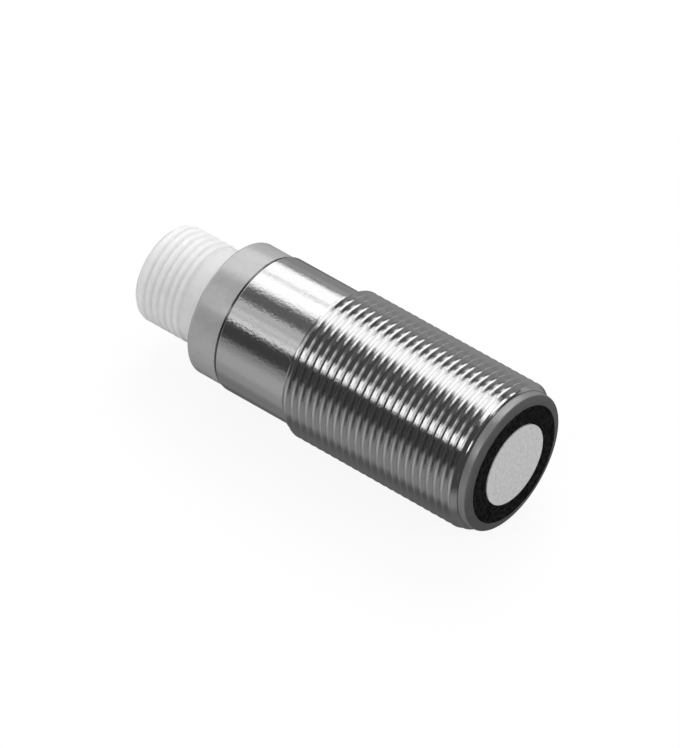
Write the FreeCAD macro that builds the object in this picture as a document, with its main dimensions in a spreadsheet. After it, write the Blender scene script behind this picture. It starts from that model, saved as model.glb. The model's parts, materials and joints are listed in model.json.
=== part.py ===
# Ultrasonic sensor in an M18 x 1 threaded barrel, with an M12 x 1 plug connector at its rear.
# Lengths are in millimetres. The origin is the centre of the sensing face, the sound leaves
# along +X, the body reaches back along -X and +Z is up.

import FreeCAD, Part
import math
import os
import re
import Sketcher
from FreeCAD import Placement, Rotation, Vector

# Driving dimensions: alias, value, what it is
DIMENSIONS = [
    # Metal barrel
    ("thread_diameter", 18.0, "crests of the M18 thread"),
    ("thread_length", 24.6, "threaded stretch, from the metal's front end to its run-out"),
    ("thread_runout", 0.5, "slope from the last crest down to the shank"),
    ("thread_height", 0.725, "from the smooth shank up to the crests"),
    ("barrel_wall", 0.875, "wall of the smooth shank"),
    ("barrel_chamfer", 0.65, "front chamfer of the barrel"),
    ("barrel_length", 34.15, "metal barrel from end to end"),
    ("barrel_edge", 0.12, "broken edge at the barrel's rear"),
    ("fit_clearance", 0.05, "radial clearance of what slides into the bore"),
    # Transducer holder and foam ring
    ("collar_inset", 0.7, "from the thread's crests in to the holder's collar"),
    ("collar_rim", 1.15, "width of the collar's front, from its side in to the foam"),
    ("collar_length", 1.35, "collar's length in front of the metal"),
    ("cone_drop", 0.4, "how far the shallow front cone falls back at its rim"),
    ("skirt_wall", 0.75, "wall of the holder's skirt in the bore"),
    ("holder_length", 11.0, "holder with its skirt"),
    ("foam_wall", 1.7, "foam sleeve between the skirt and the disc"),
    ("foam_lip_depth", 1.2, "depth of the foam's lip that shows as a ring"),
    # Sound transducer
    ("face_proud", 0.1, "how far the disc stands out of the foam ring"),
    ("matching_thickness", 2.4, "matching layer along the axis"),
    ("piezo_inset", 0.4, "from the disc's side in to the ceramic's"),
    ("piezo_thickness", 2.0, "ceramic disc along the axis"),
    ("damper_thickness", 2.5, "backing behind the ceramic"),
    ("lead_diameter", 0.5, "insulated lead from the ceramic"),
    ("lead_clearance", 0.1, "round a lead in the backing"),
    ("lead_spacing", 5.2, "between the two leads"),
    ("lead_overlap", 1.6, "length of a lead that lies on the board"),
    ("lead_lift", 0.05, "solder under a lead on the board"),
    # Light ring
    ("light_inset", 0.175, "from the smooth shank in to the shoulder"),
    ("light_length", 4.4, "shoulder along the axis"),
    ("light_chamfer", 0.35, "rear chamfer of the shoulder"),
    ("light_edge", 0.15, "front chamfer of the shoulder at the metal"),
    ("light_spigot", 4.0, "spigot in the barrel's bore"),
    ("spigot_wall", 1.35, "wall of that spigot"),
    ("light_rear_wall", 1.6, "wall that holds the connector"),
    # Connector
    ("neck_diameter", 11.4, "plain neck of the connector"),
    ("neck_length", 2.9, "neck between the light ring and the thread"),
    ("plug_thread_diameter", 11.8, "crests of the M12 thread"),
    ("plug_thread_length", 6.0, "full crests of the M12 thread"),
    ("plug_chamfer", 0.7, "rear chamfer of the connector"),
    ("flange_step", 0.45, "from the neck out to the flange inside the light ring"),
    ("flange_thickness", 1.3, "connector's flange"),
    ("seat_clearance", 0.05, "radially, round the flange in its seat"),
    ("socket_bore", 8.5, "bore that the mating plug enters"),
    ("socket_depth", 8.5, "depth of that bore"),
    ("socket_chamfer", 0.3, "chamfer at the socket's mouth"),
    ("key_width", 1.0, "coding key in the socket"),
    ("key_height", 0.6, "coding key, radially"),
    ("key_setback", 1.6, "coding key's start inside the mouth"),
    ("pin_count", 4, "contact pins"),
    ("pin_circle", 5.5, "circle of the pins"),
    ("pin_diameter", 1.0, "contact pin"),
    ("pin_tip_setback", 1.0, "pin tips inside the socket's mouth"),
    ("pin_tip_chamfer", 0.25, "taper of a pin's tip"),
    ("pin_tail", 0.8, "solder tail in front of the contact board"),
    # Boards
    ("slot_depth", 1.5, "board's hold in the holder's skirt"),
    ("rear_slot_depth", 3.0, "board's hold in the light ring's spigot"),
    ("slot_wall", 0.4, "skirt and spigot wall left outside a slot"),
    ("slot_clearance", 0.05, "round the board in its slots"),
    ("board_thickness", 1.0, "main board"),
    ("board_corner", 0.6, "corner chamfer of the main board"),
    ("contact_board_thickness", 0.8, "round board behind the connector"),
    ("contact_board_clearance", 0.1, "radially, round the contact board"),
    ("led_width", 1.6, "indicator across"),
    ("led_height", 0.8, "indicator, radially"),
    ("led_thickness", 0.8, "indicator along the axis"),
    ("led_clearance", 0.2, "between an indicator and the light ring"),
    ("strip_width", 4.0, "flat strip between the boards"),
    ("strip_thickness", 0.2, "flat strip"),
    ("strip_overlap", 1.7, "strip's length on the main board"),
    ("strip_rise", 1.5, "strip's height on the contact board"),
    ("strip_bend", 0.6, "inside radius of the strip's bend"),
    ("part_gap", 0.8, "between neighbours on the main board"),
    ("resin_setback", 0.2, "between the resin and the indicators"),
    # Transformer
    ("core_length", 5.4, "ferrite core along the board"),
    ("core_width", 5.0, "ferrite core across"),
    ("core_height", 4.2, "ferrite core above the board"),
    ("core_flange", 0.9, "top and bottom flange of the core"),
    ("core_hub", 2.0, "centre post of the core"),
    ("coil_margin", 0.4, "how far the winding stays inside the flanges"),
]

# Plain moulded parts on the main board: name, length, width, height, offset across the board.
# Each side's row starts at the front end of the board and leaves part_gap between neighbours.
UPPER_PARTS = [
    ("controller_chip", 5.0, 5.0, 0.9, 0.0),
    ("amplifier_chip", 3.9, 4.9, 1.5, 0.0),
]
LOWER_PARTS = [
    ("temperature_sensor", 1.3, 2.9, 1.1, 0.0),
    ("storage_capacitor", 6.0, 3.2, 2.6, 0.0),
    ("suppressor_diode", 3.6, 4.6, 2.3, 0.0),
    ("output_driver", 3.5, 6.5, 1.6, 0.0),
    ("voltage_regulator", 2.5, 4.5, 1.5, 0.0),
]

doc = FreeCAD.newDocument("ultrasonic_sensor")
dims = doc.addObject("Spreadsheet::Sheet", "dims")
pieces = []


def write_sheet(rows):
    """Fill the sheet: what it is, its value and its alias, one row for each dimension."""
    for row, (alias, number, meaning) in enumerate(rows, start=1):
        dims.set("A%d" % row, meaning)
        dims.set("B%d" % row, str(number))
        dims.setAlias("B%d" % row, alias)
    doc.recompute()


def board_part_rows(parts):
    """Sheet rows for the length, width, height and offset of each plain board part."""
    rows = []
    for name, length, width, height, offset in parts:
        rows.append((name + "_length", length, name + " along the board"))
        rows.append((name + "_width", width, name + " across the board"))
        rows.append((name + "_height", height, name + " above the board"))
        rows.append((name + "_offset", offset, name + " off the board's centre line"))
    return rows


ALL_ROWS = DIMENSIONS + board_part_rows(UPPER_PARTS) + board_part_rows(LOWER_PARTS)
ALIASES = set(row[0] for row in ALL_ROWS)
write_sheet(ALL_ROWS)


def bound(formula):
    """The formula with each alias pointed at its cell in the sheet."""
    return re.sub(r"[a-z][a-z_]*", lambda word: "dims." + word.group() if word.group() in ALIASES
                  else word.group(), formula)


def value(formula):
    """The number that a formula over the sheet gives."""
    return float(dims.evalExpression(bound(formula)))


def bind(piece, setting, formula):
    """Tie one setting of an object to the sheet."""
    piece.setExpression(setting, bound(formula))


def keep(piece, name):
    """Give a finished piece its name and put it on the list of what is written."""
    piece.Label = name
    pieces.append(piece)
    return piece


# Radii worked out from the sheet, from the thread's crests inwards
SHANK = "(thread_diameter / 2 - thread_height)"
BORE = "(%s - barrel_wall)" % SHANK
SPIGOT = "(%s - fit_clearance)" % BORE
COLLAR = "(thread_diameter / 2 - collar_inset)"
FOAM_LIP = "(%s - collar_rim)" % COLLAR
FOAM = "(%s - skirt_wall)" % SPIGOT
FACE = "(%s - foam_wall)" % FOAM
PIEZO = "(%s - piezo_inset)" % FACE
LIGHT = "(%s - light_inset)" % SHANK
SPIGOT_BORE = "(%s - spigot_wall)" % SPIGOT
FLANGE = "(neck_diameter / 2 + flange_step)"
SEAT = "(%s + seat_clearance)" % FLANGE
CONTACT_BOARD = "(%s - contact_board_clearance)" % SEAT
BOARD_HALF = "(%s - slot_wall - slot_clearance)" % SPIGOT
BOARD_TOP = "(board_thickness / 2)"
LEAD_HEIGHT = "(%s + lead_lift + lead_diameter / 2)" % BOARD_TOP

# Places worked out from the sheet, as distances behind the sensing face
FOAM_FRONT = "face_proud"
LIP_REAR = "(face_proud + foam_lip_depth)"
HOLDER_REAR = "(face_proud + holder_length)"
METAL_FRONT = "(face_proud + collar_length)"
METAL_REAR = "(%s + barrel_length)" % METAL_FRONT
THREAD_REAR = "(%s + thread_length)" % METAL_FRONT
LIGHT_REAR = "(%s + light_length)" % METAL_REAR
FLANGE_REAR = "(%s - light_rear_wall)" % LIGHT_REAR
FLANGE_FRONT = "(%s - flange_thickness)" % FLANGE_REAR
PLUG_THREAD_FRONT = "(%s + neck_length)" % LIGHT_REAR
PLUG_THREAD_REAR = "(%s + plug_thread_length)" % PLUG_THREAD_FRONT
PLUG_END = "(%s + plug_chamfer)" % PLUG_THREAD_REAR
SOCKET_FLOOR = "(%s - socket_depth)" % PLUG_END
PIEZO_FRONT = "matching_thickness"
DAMPER_FRONT = "(%s + piezo_thickness)" % PIEZO_FRONT
FOAM_REAR = "(%s + damper_thickness)" % DAMPER_FRONT
BOARD_FRONT = "(%s - slot_depth + slot_clearance)" % HOLDER_REAR
SPIGOT_FRONT = "(%s - light_spigot)" % METAL_REAR
BOARD_REAR = "(%s + rear_slot_depth - slot_clearance)" % SPIGOT_FRONT
LEAD_REAR = "(%s + lead_overlap)" % BOARD_FRONT
CORE_FRONT = "(%s + part_gap)" % LEAD_REAR
CONTACT_BOARD_FRONT = "(%s - contact_board_thickness)" % FLANGE_FRONT
RESIN_REAR = "(%s - led_thickness - resin_setback)" % CONTACT_BOARD_FRONT


def origin_part(body, role):
    """One of a body's own origin planes or axes."""
    return [part for part in body.Origin.OriginFeatures if part.Role == role][0]


def sketch_on(body, role, name, offset=None):
    """A new sketch on one of the body's origin planes, moved off it along its normal if asked."""
    sketch = body.newObject("Sketcher::SketchObject", name)
    sketch.AttachmentSupport = [(origin_part(body, role), "")]
    sketch.MapMode = "FlatFace"
    if offset:
        bind(sketch, "AttachmentOffset.Base.z", offset)
    return sketch


def pin_point(sketch, line, across, up):
    """Tie the start of a line to its two coordinates. "0" is the sketch's own axis."""
    for kind, formula, axis in (("DistanceX", across, -2), ("DistanceY", up, -1)):
        if formula == "0":
            sketch.addConstraint(Sketcher.Constraint("PointOnObject", line, 1, axis))
        else:
            number = sketch.addConstraint(Sketcher.Constraint(kind, -1, 1, line, 1, value(formula)))
            bind(sketch, "Constraints[%d]" % number, formula)


def outline(sketch, corners):
    """A closed outline of straight lines, with every corner tied to the sheet."""
    points = [Vector(value(across), value(up), 0) for across, up in corners]
    count = len(points)
    for index in range(count):
        sketch.addGeometry(Part.LineSegment(points[index], points[(index + 1) % count]))
    for index in range(count):
        sketch.addConstraint(Sketcher.Constraint("Coincident", index, 2, (index + 1) % count, 1))
    for index, (across, up) in enumerate(corners):
        pin_point(sketch, index, across, up)


def ring_sketch(sketch, radius, across="0", up="0"):
    """A circle with its radius and centre tied to the sheet."""
    centre = Vector(value(across), value(up), 0)
    circle = sketch.addGeometry(Part.Circle(centre, Vector(0, 0, 1), value(radius)))
    number = sketch.addConstraint(Sketcher.Constraint("Radius", circle, value(radius)))
    bind(sketch, "Constraints[%d]" % number, radius)
    for kind, formula, axis in (("DistanceX", across, -2), ("DistanceY", up, -1)):
        if formula == "0":
            sketch.addConstraint(Sketcher.Constraint("PointOnObject", circle, 3, axis))
        else:
            number = sketch.addConstraint(
                Sketcher.Constraint(kind, -1, 1, circle, 3, value(formula)))
            bind(sketch, "Constraints[%d]" % number, formula)


def turned(name, corners):
    """A body turned about the X axis. Each corner is its distance behind the face, its radius."""
    body = doc.addObject("PartDesign::Body", name)
    sketch = sketch_on(body, "XZ_Plane", name + "_section")
    outline(sketch, [("-" + back if back != "0" else "0", radius) for back, radius in corners])
    solid = body.newObject("PartDesign::Revolution", name + "_turned")
    solid.Profile = sketch
    solid.ReferenceAxis = (sketch, ["H_Axis"])
    solid.Angle = 360
    sketch.Visibility = False
    doc.recompute()
    return body


def cut(body, sketch, name, length=None):
    """A pocket to both sides of its sketch, through everything unless a length is given."""
    before = body.Shape.Volume
    pocket = body.newObject("PartDesign::Pocket", name)
    pocket.Profile = sketch
    pocket.Midplane = True
    if length:
        bind(pocket, "Length", length)
    else:
        pocket.Type = "ThroughAll"
    doc.recompute()
    assert body.Shape.Volume < before, name + " cuts nothing"
    return pocket


def add(body, sketch, name, length, midplane=False):
    """A pad of a given length along its sketch's normal, or to both sides of it."""
    pad = body.newObject("PartDesign::Pad", name)
    pad.Profile = sketch
    pad.Midplane = midplane
    bind(pad, "Length", length)
    doc.recompute()
    return pad


def repeat_round(body, feature, name, count):
    """The same feature at equal angles about the X axis."""
    pattern = body.newObject("PartDesign::PolarPattern", name)
    pattern.Originals = [feature]
    pattern.Axis = (origin_part(body, "X_Axis"), [""])
    pattern.Angle = 360
    bind(pattern, "Occurrences", count)
    body.Tip = pattern
    doc.recompute()
    return pattern


# Sound transducer
def matching_layer():
    """Pale disc of glass-bubble resin, the sensing face."""
    return turned("matching_layer", [
        ("0", "0"),
        ("0", FACE),
        (PIEZO_FRONT, FACE),
        (PIEZO_FRONT, "0"),
    ])


def piezo_disc():
    """Ceramic that makes and hears the sound, bonded to the matching layer."""
    return turned("piezo_disc", [
        (PIEZO_FRONT, "0"),
        (PIEZO_FRONT, PIEZO),
        (DAMPER_FRONT, PIEZO),
        (DAMPER_FRONT, "0"),
    ])


def damping_plug():
    """Backing that ends the ringing of the ceramic, with a hole for each lead."""
    body = turned("damping_plug", [
        (DAMPER_FRONT, "0"),
        (DAMPER_FRONT, FACE),
        (FOAM_REAR, FACE),
        (FOAM_REAR, "0"),
    ])
    for side, across in (("left", "lead_spacing / 2"), ("right", "-lead_spacing / 2")):
        sketch = sketch_on(body, "YZ_Plane", "lead_hole_" + side)
        ring_sketch(sketch, "(lead_diameter / 2 + lead_clearance)", across, LEAD_HEIGHT)
        cut(body, sketch, "lead_passage_" + side)
    return body


def decoupling_foam():
    """Black foam sleeve round the transducer, with the lip that shows as a ring."""
    return turned("decoupling_foam", [
        (FOAM_FRONT, FACE),
        (FOAM_FRONT, FOAM_LIP),
        (LIP_REAR, FOAM_LIP),
        (LIP_REAR, FOAM),
        (FOAM_REAR, FOAM),
        (FOAM_REAR, FACE),
    ])


def transducer_lead(name, across):
    """Straight insulated lead from the ceramic through the backing to its pad on the board."""
    body = doc.addObject("PartDesign::Body", name)
    sketch = sketch_on(body, "YZ_Plane", name + "_section", "-" + LEAD_REAR)
    ring_sketch(sketch, "lead_diameter / 2", across, LEAD_HEIGHT)
    add(body, sketch, name + "_length", "%s - %s" % (LEAD_REAR, DAMPER_FRONT))
    return body


def front_ring():
    """Transducer holder: a collar with a shallow cone face, and a skirt that holds the board."""
    body = turned("front_ring", [
        (FOAM_FRONT, FOAM_LIP),
        ("(face_proud + cone_drop)", COLLAR),
        (METAL_FRONT, COLLAR),
        (METAL_FRONT, SPIGOT),
        (HOLDER_REAR, SPIGOT),
        (HOLDER_REAR, FOAM),
        (LIP_REAR, FOAM),
        (LIP_REAR, FOAM_LIP),
    ])
    sketch = sketch_on(body, "XY_Plane", "front_slot_outline")
    board_slot(sketch, "(%s - slot_depth)" % HOLDER_REAR, HOLDER_REAR)
    cut(body, sketch, "front_slot", "board_thickness + 2 * slot_clearance")
    return body


def board_slot(sketch, front, rear):
    """Outline of the slot that takes an end of the main board, seen from above."""
    half = "(%s + slot_clearance)" % BOARD_HALF
    outline(sketch, [("-" + front, half), ("-" + rear, half), ("-" + rear, "-" + half),
                     ("-" + front, "-" + half)])


# Metal barrel
def barrel():
    """Turned brass sleeve: front chamfer, stretch for the thread, run-out, smooth shank."""
    return turned("barrel", [
        (METAL_FRONT, BORE),
        (METAL_FRONT, "(thread_diameter / 2 - barrel_chamfer)"),
        ("(%s + barrel_chamfer)" % METAL_FRONT, "thread_diameter / 2"),
        ("(%s - thread_runout)" % THREAD_REAR, "thread_diameter / 2"),
        (THREAD_REAR, SHANK),
        ("(%s - barrel_edge)" % METAL_REAR, SHANK),
        (METAL_REAR, "(%s - barrel_edge)" % SHANK),
        (METAL_REAR, BORE),
    ])


# Light ring
def light_ring():
    """Translucent shoulder: spigot with the board's rear slots, step for the contact board, wall."""
    body = turned("light_ring", [
        (SPIGOT_FRONT, SPIGOT_BORE),
        (SPIGOT_FRONT, SPIGOT),
        (METAL_REAR, SPIGOT),
        (METAL_REAR, "(%s - light_edge)" % LIGHT),
        ("(%s + light_edge)" % METAL_REAR, LIGHT),
        ("(%s - light_chamfer)" % LIGHT_REAR, LIGHT),
        (LIGHT_REAR, "(%s - light_chamfer)" % LIGHT),
        (LIGHT_REAR, "neck_diameter / 2"),
        (FLANGE_REAR, "neck_diameter / 2"),
        (FLANGE_REAR, SEAT),
        (CONTACT_BOARD_FRONT, SEAT),
        (CONTACT_BOARD_FRONT, SPIGOT_BORE),
    ])
    sketch = sketch_on(body, "XY_Plane", "rear_slot_outline")
    board_slot(sketch, SPIGOT_FRONT, "(%s + rear_slot_depth)" % SPIGOT_FRONT)
    cut(body, sketch, "rear_slot", "board_thickness + 2 * slot_clearance")
    return body


# Connector
def connector_shell():
    """Milky moulding: flange, neck, stretch for the thread, socket with its key and pin holes."""
    body = turned("connector_shell", [
        (FLANGE_FRONT, "0"),
        (FLANGE_FRONT, FLANGE),
        (FLANGE_REAR, FLANGE),
        (FLANGE_REAR, "neck_diameter / 2"),
        (PLUG_THREAD_FRONT, "neck_diameter / 2"),
        (PLUG_THREAD_FRONT, "plug_thread_diameter / 2"),
        (PLUG_THREAD_REAR, "plug_thread_diameter / 2"),
        (PLUG_END, "(plug_thread_diameter / 2 - plug_chamfer)"),
        (PLUG_END, "(socket_bore / 2 + socket_chamfer)"),
        ("(%s - socket_chamfer)" % PLUG_END, "socket_bore / 2"),
        (SOCKET_FLOOR, "socket_bore / 2"),
        (SOCKET_FLOOR, "0"),
    ])
    coding_key(body)
    pin_holes(body)
    return body


def coding_key(body):
    """Rib along the socket's wall that lets the plug in one way round, midway between two pins."""
    sketch = sketch_on(body, "YZ_Plane", "key_outline", "-" + SOCKET_FLOOR)
    inner = "(socket_bore / 2 - key_height)"
    outer = "(socket_bore / 2 + socket_chamfer / 2)"
    half = "key_width / 2"
    outline(sketch, [("-" + half, inner), (half, inner), (half, outer), ("-" + half, outer)])
    bind(sketch, "AttachmentOffset.Rotation.Angle", "180 / pin_count")
    pad = add(body, sketch, "coding_key", "socket_depth - key_setback")
    pad.Reversed = True
    doc.recompute()


def pin_holes(body):
    """Holes through the socket's floor that the pins are pressed into."""
    hole = sketch_on(body, "YZ_Plane", "pin_hole_outline", "-" + SOCKET_FLOOR)
    ring_sketch(hole, "pin_diameter / 2", "0", "pin_circle / 2")
    through = cut(body, hole, "pin_hole", "2 * (%s - %s)" % (SOCKET_FLOOR, FLANGE_FRONT))
    repeat_round(body, through, "pin_holes", "pin_count")


def contact_pin():
    """One gold-plated pin at the top of the circle: tail, stem and tapered tip."""
    tail = "(%s - pin_tail)" % CONTACT_BOARD_FRONT
    tip = "(%s - pin_tip_setback)" % PLUG_END
    return [
        (tail, "0"),
        (tail, "pin_diameter / 2"),
        ("(%s - pin_tip_chamfer)" % tip, "pin_diameter / 2"),
        (tip, "(pin_diameter / 2 - pin_tip_chamfer)"),
        (tip, "0"),
    ]


def contact_pins():
    """The pins, numbered round the circle from the top."""
    pins = []
    for index in range(int(value("pin_count"))):
        body = turned("contact_pin_%d" % (index + 1), contact_pin())
        bind(body, "Placement.Base.y", "-pin_circle / 2 * sin(%d * 360 / pin_count)" % index)
        bind(body, "Placement.Base.z", "pin_circle / 2 * cos(%d * 360 / pin_count)" % index)
        pins.append(body)
    return pins


# Boards
def circuit_board():
    """Main board, held by its edges in the slots of the holder and of the light ring."""
    body = doc.addObject("PartDesign::Body", "circuit_board")
    sketch = sketch_on(body, "XY_Plane", "board_outline")
    inset = "(%s - board_corner)" % BOARD_HALF
    front = "(%s + board_corner)" % BOARD_FRONT
    rear = "(%s - board_corner)" % BOARD_REAR
    outline(sketch, [
        ("-" + BOARD_FRONT, "-" + inset), ("-" + BOARD_FRONT, inset),
        ("-" + front, BOARD_HALF), ("-" + rear, BOARD_HALF),
        ("-" + BOARD_REAR, inset), ("-" + BOARD_REAR, "-" + inset),
        ("-" + rear, "-" + BOARD_HALF), ("-" + front, "-" + BOARD_HALF),
    ])
    add(body, sketch, "board_plate", "board_thickness", midplane=True)
    return body


def contact_board():
    """Round board that the pins are soldered to, flat against the connector's flange."""
    body = turned("contact_board", [
        (CONTACT_BOARD_FRONT, "0"),
        (CONTACT_BOARD_FRONT, CONTACT_BOARD),
        (FLANGE_FRONT, CONTACT_BOARD),
        (FLANGE_FRONT, "0"),
    ])
    hole = sketch_on(body, "YZ_Plane", "solder_hole_outline")
    ring_sketch(hole, "pin_diameter / 2", "0", "pin_circle / 2")
    through = cut(body, hole, "solder_hole")
    repeat_round(body, through, "solder_holes", "pin_count")
    return body


def indicator_leds():
    """Indicators near the rim of the contact board, midway between the pins."""
    leds = []
    for index in range(int(value("pin_count"))):
        name = "indicator_led_%d" % (index + 1)
        body = doc.addObject("PartDesign::Body", name)
        sketch = sketch_on(body, "YZ_Plane", name + "_outline", "-" + CONTACT_BOARD_FRONT)
        outer = "(%s - led_clearance)" % SPIGOT_BORE
        inner = "(%s - led_height)" % outer
        half = "led_width / 2"
        outline(sketch, [("-" + half, inner), (half, inner), (half, outer), ("-" + half, outer)])
        add(body, sketch, name + "_block", "led_thickness")
        body.Placement = Placement(Vector(), Rotation(Vector(1, 0, 0), 1))
        bind(body, "Placement.Rotation.Angle", "(%d + 0.5) * 360 / pin_count" % index)
        leds.append(body)
    return leds


def link_strip():
    """Flat strip that lies on the main board and turns up onto the contact board."""
    body = doc.addObject("PartDesign::Body", "link_strip")
    sketch = sketch_on(body, "XZ_Plane", "strip_outline")
    start = "-(%s - strip_overlap)" % BOARD_REAR
    back = "-" + CONTACT_BOARD_FRONT
    front = "-(%s - strip_thickness)" % CONTACT_BOARD_FRONT
    top = "(%s + strip_thickness)" % BOARD_TOP
    rise = "(%s + strip_rise)" % BOARD_TOP
    outline(sketch, [(start, BOARD_TOP), (back, BOARD_TOP), (back, rise), (front, rise),
                     (front, top), (start, top)])
    add(body, sketch, "strip_bend", "strip_width", midplane=True)
    outer = corner_edges(body, value(back), value(BOARD_TOP))
    round_edges(body, outer, "outer_bend", "strip_bend + strip_thickness")
    inner = corner_edges(body, value(front), value(top))
    round_edges(body, inner, "inner_bend", "strip_bend")
    return body


def corner_edges(body, across, up):
    """Names of the edges that run across the object through one point of the XZ plane."""
    names = []
    for number, edge in enumerate(body.Shape.Edges, start=1):
        ends = [vertex.Point for vertex in edge.Vertexes]
        if all(abs(end.x - across) < 1e-6 and abs(end.z - up) < 1e-6 for end in ends):
            names.append("Edge%d" % number)
    return names


def round_edges(body, edges, name, radius):
    """A fillet on the named edges of the body as it is now."""
    base = body.Tip
    fillet = body.newObject("PartDesign::Fillet", name)
    fillet.Base = (base, edges)
    bind(fillet, "Radius", radius)
    doc.recompute()


# Parts on the main board
def block(name, front, length, width, bottom, height, offset="0"):
    """A box on the board, from the distance of its front end behind the face."""
    box = doc.addObject("Part::Box", name)
    bind(box, "Length", length)
    bind(box, "Width", width)
    bind(box, "Height", height)
    bind(box, "Placement.Base.x", "-(%s + %s)" % (front, length))
    bind(box, "Placement.Base.y", "%s - %s / 2" % (offset, width))
    bind(box, "Placement.Base.z", bottom)
    return box


def board_row(parts, front, side):
    """A row of plain parts, each part_gap behind the one before, above or below the board."""
    row = []
    for name, _length, _width, _height, _offset in parts:
        height = name + "_height"
        bottom = BOARD_TOP if side == "upper" else "(-%s - %s)" % (BOARD_TOP, height)
        row.append(block(name, front, name + "_length", name + "_width", bottom, height,
                         name + "_offset"))
        front = "(%s + %s + part_gap)" % (front, name + "_length")
    return row


def transformer_core():
    """Ferrite core: two flanges on a centre post, the lower one on the board."""
    hub_front = "(%s + core_length / 2 - core_hub / 2)" % CORE_FRONT
    lower = block("core_lower", CORE_FRONT, "core_length", "core_width", BOARD_TOP, "core_flange")
    upper = block("core_upper", CORE_FRONT, "core_length", "core_width",
                  "(%s + core_height - core_flange)" % BOARD_TOP, "core_flange")
    post = block("core_post", hub_front, "core_hub", "core_hub", BOARD_TOP, "core_height")
    core = doc.addObject("Part::MultiFuse", "transformer_core")
    core.Shapes = [lower, upper, post]
    core.Refine = True
    return core


def transformer_coil():
    """Winding round the centre post, between the flanges."""
    front = "(%s + coil_margin)" % CORE_FRONT
    bottom = "(%s + core_flange)" % BOARD_TOP
    height = "(core_height - 2 * core_flange)"
    hub_front = "(%s + core_length / 2 - core_hub / 2)" % CORE_FRONT
    winding = block("coil_winding", front, "(core_length - 2 * coil_margin)",
                    "(core_width - 2 * coil_margin)", bottom, height)
    hole = block("coil_hole", hub_front, "core_hub", "core_hub", bottom, height)
    coil = doc.addObject("Part::Cut", "transformer_coil")
    coil.Base = winding
    coil.Tool = hole
    return coil


def rod(name, front, rear, radius):
    """A plain cylinder about the X axis between two distances behind the face."""
    cylinder = doc.addObject("Part::Cylinder", name)
    cylinder.Placement = Placement(Vector(), Rotation(Vector(0, 1, 0), 90))
    bind(cylinder, "Placement.Base.x", "-" + rear)
    bind(cylinder, "Height", "%s - %s" % (rear, front))
    bind(cylinder, "Radius", radius)
    return cylinder


def potting_resin(embedded):
    """Cast resin that fills the barrel round everything on the board."""
    doc.recompute()
    fill = doc.addObject("Part::MultiFuse", "resin_fill")
    fill.Shapes = [
        rod("resin_in_holder", FOAM_REAR, HOLDER_REAR, FOAM),
        rod("resin_in_barrel", HOLDER_REAR, SPIGOT_FRONT, BORE),
        rod("resin_in_light_ring", SPIGOT_FRONT, RESIN_REAR, SPIGOT_BORE),
    ]
    inside = doc.addObject("Part::MultiFuse", "resin_hollow")
    inside.Shapes = embedded
    resin = doc.addObject("Part::Cut", "potting_resin")
    resin.Base = fill
    resin.Tool = inside
    resin.Refine = True
    return resin


def build():
    """Make every piece, in order from the sensing face to the connector."""
    keep(matching_layer(), "matching_layer")
    keep(piezo_disc(), "piezo_disc")
    keep(damping_plug(), "damping_plug")
    keep(decoupling_foam(), "decoupling_foam")
    keep(transducer_lead("transducer_lead_1", "lead_spacing / 2"), "transducer_lead_1")
    keep(transducer_lead("transducer_lead_2", "-lead_spacing / 2"), "transducer_lead_2")
    keep(front_ring(), "front_ring")
    keep(barrel(), "barrel")
    keep(light_ring(), "light_ring")
    keep(connector_shell(), "connector_shell")
    for index, pin in enumerate(contact_pins(), start=1):
        keep(pin, "contact_pin_%d" % index)
    keep(circuit_board(), "circuit_board")
    keep(contact_board(), "contact_board")
    for index, led in enumerate(indicator_leds(), start=1):
        keep(led, "indicator_led_%d" % index)
    keep(link_strip(), "link_strip")
    keep(transformer_core(), "transformer_core")
    keep(transformer_coil(), "transformer_coil")
    upper_front = "(%s + core_length + part_gap)" % CORE_FRONT
    for part in board_row(UPPER_PARTS, upper_front, "upper"):
        keep(part, part.Name)
    lower_front = "(%s + part_gap)" % HOLDER_REAR
    for part in board_row(LOWER_PARTS, lower_front, "lower"):
        keep(part, part.Name)
    in_resin = ["circuit_board", "link_strip", "transducer_lead_1", "transducer_lead_2",
                "transformer_core", "transformer_coil"]
    in_resin += [part[0] for part in UPPER_PARTS + LOWER_PARTS]
    keep(potting_resin([piece for piece in pieces if piece.Label in in_resin]), "potting_resin")
    doc.recompute()


def check():
    """Stop if any object failed, or any piece isn't a sound solid."""
    for item in doc.Objects:
        failed = [state for state in item.State if state in ("Invalid", "Error")]
        assert not failed, "%s: %s" % (item.Label, item.State)
    for piece in pieces:
        shape = piece.Shape
        assert not shape.isNull() and shape.isValid() and shape.Solids, piece.Label
        assert shape.Volume > 0, piece.Label


def write():
    """Write one file for each piece and print what it holds."""
    os.makedirs("parts", exist_ok=True)
    for piece in pieces:
        piece.Shape.exportStep("parts/%s.step" % piece.Label)
        box = piece.Shape.BoundBox
        print("%-20s %9.2f mm3  x %7.2f %7.2f  radius %.2f" % (
            piece.Label, piece.Shape.Volume, box.XMin, box.XMax,
            math.hypot(box.YMax - box.YMin, box.ZMax - box.ZMin) / math.sqrt(8)))


build()
check()
write()
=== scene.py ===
# %% [markdown]
# # A cylindrical ultrasonic sensor
#
# The object is a finger-sized sensor that measures distances with sound. From the front: a pale disc
# that radiates the sound, a ring of black foam, a grey plastic collar, a nickel-plated barrel with a
# fine thread, a translucent grey shoulder and a milky connector with a thread of its own.
# The construction is already packed as a frame of solid pieces. This lesson dresses it: it cuts the
# two threads, gives each piece its finish, and sets up a small studio with a long lens.

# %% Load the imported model
import json
import math

import bmesh
import bpy
import numpy as np
from mathutils import Matrix, Vector


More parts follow.
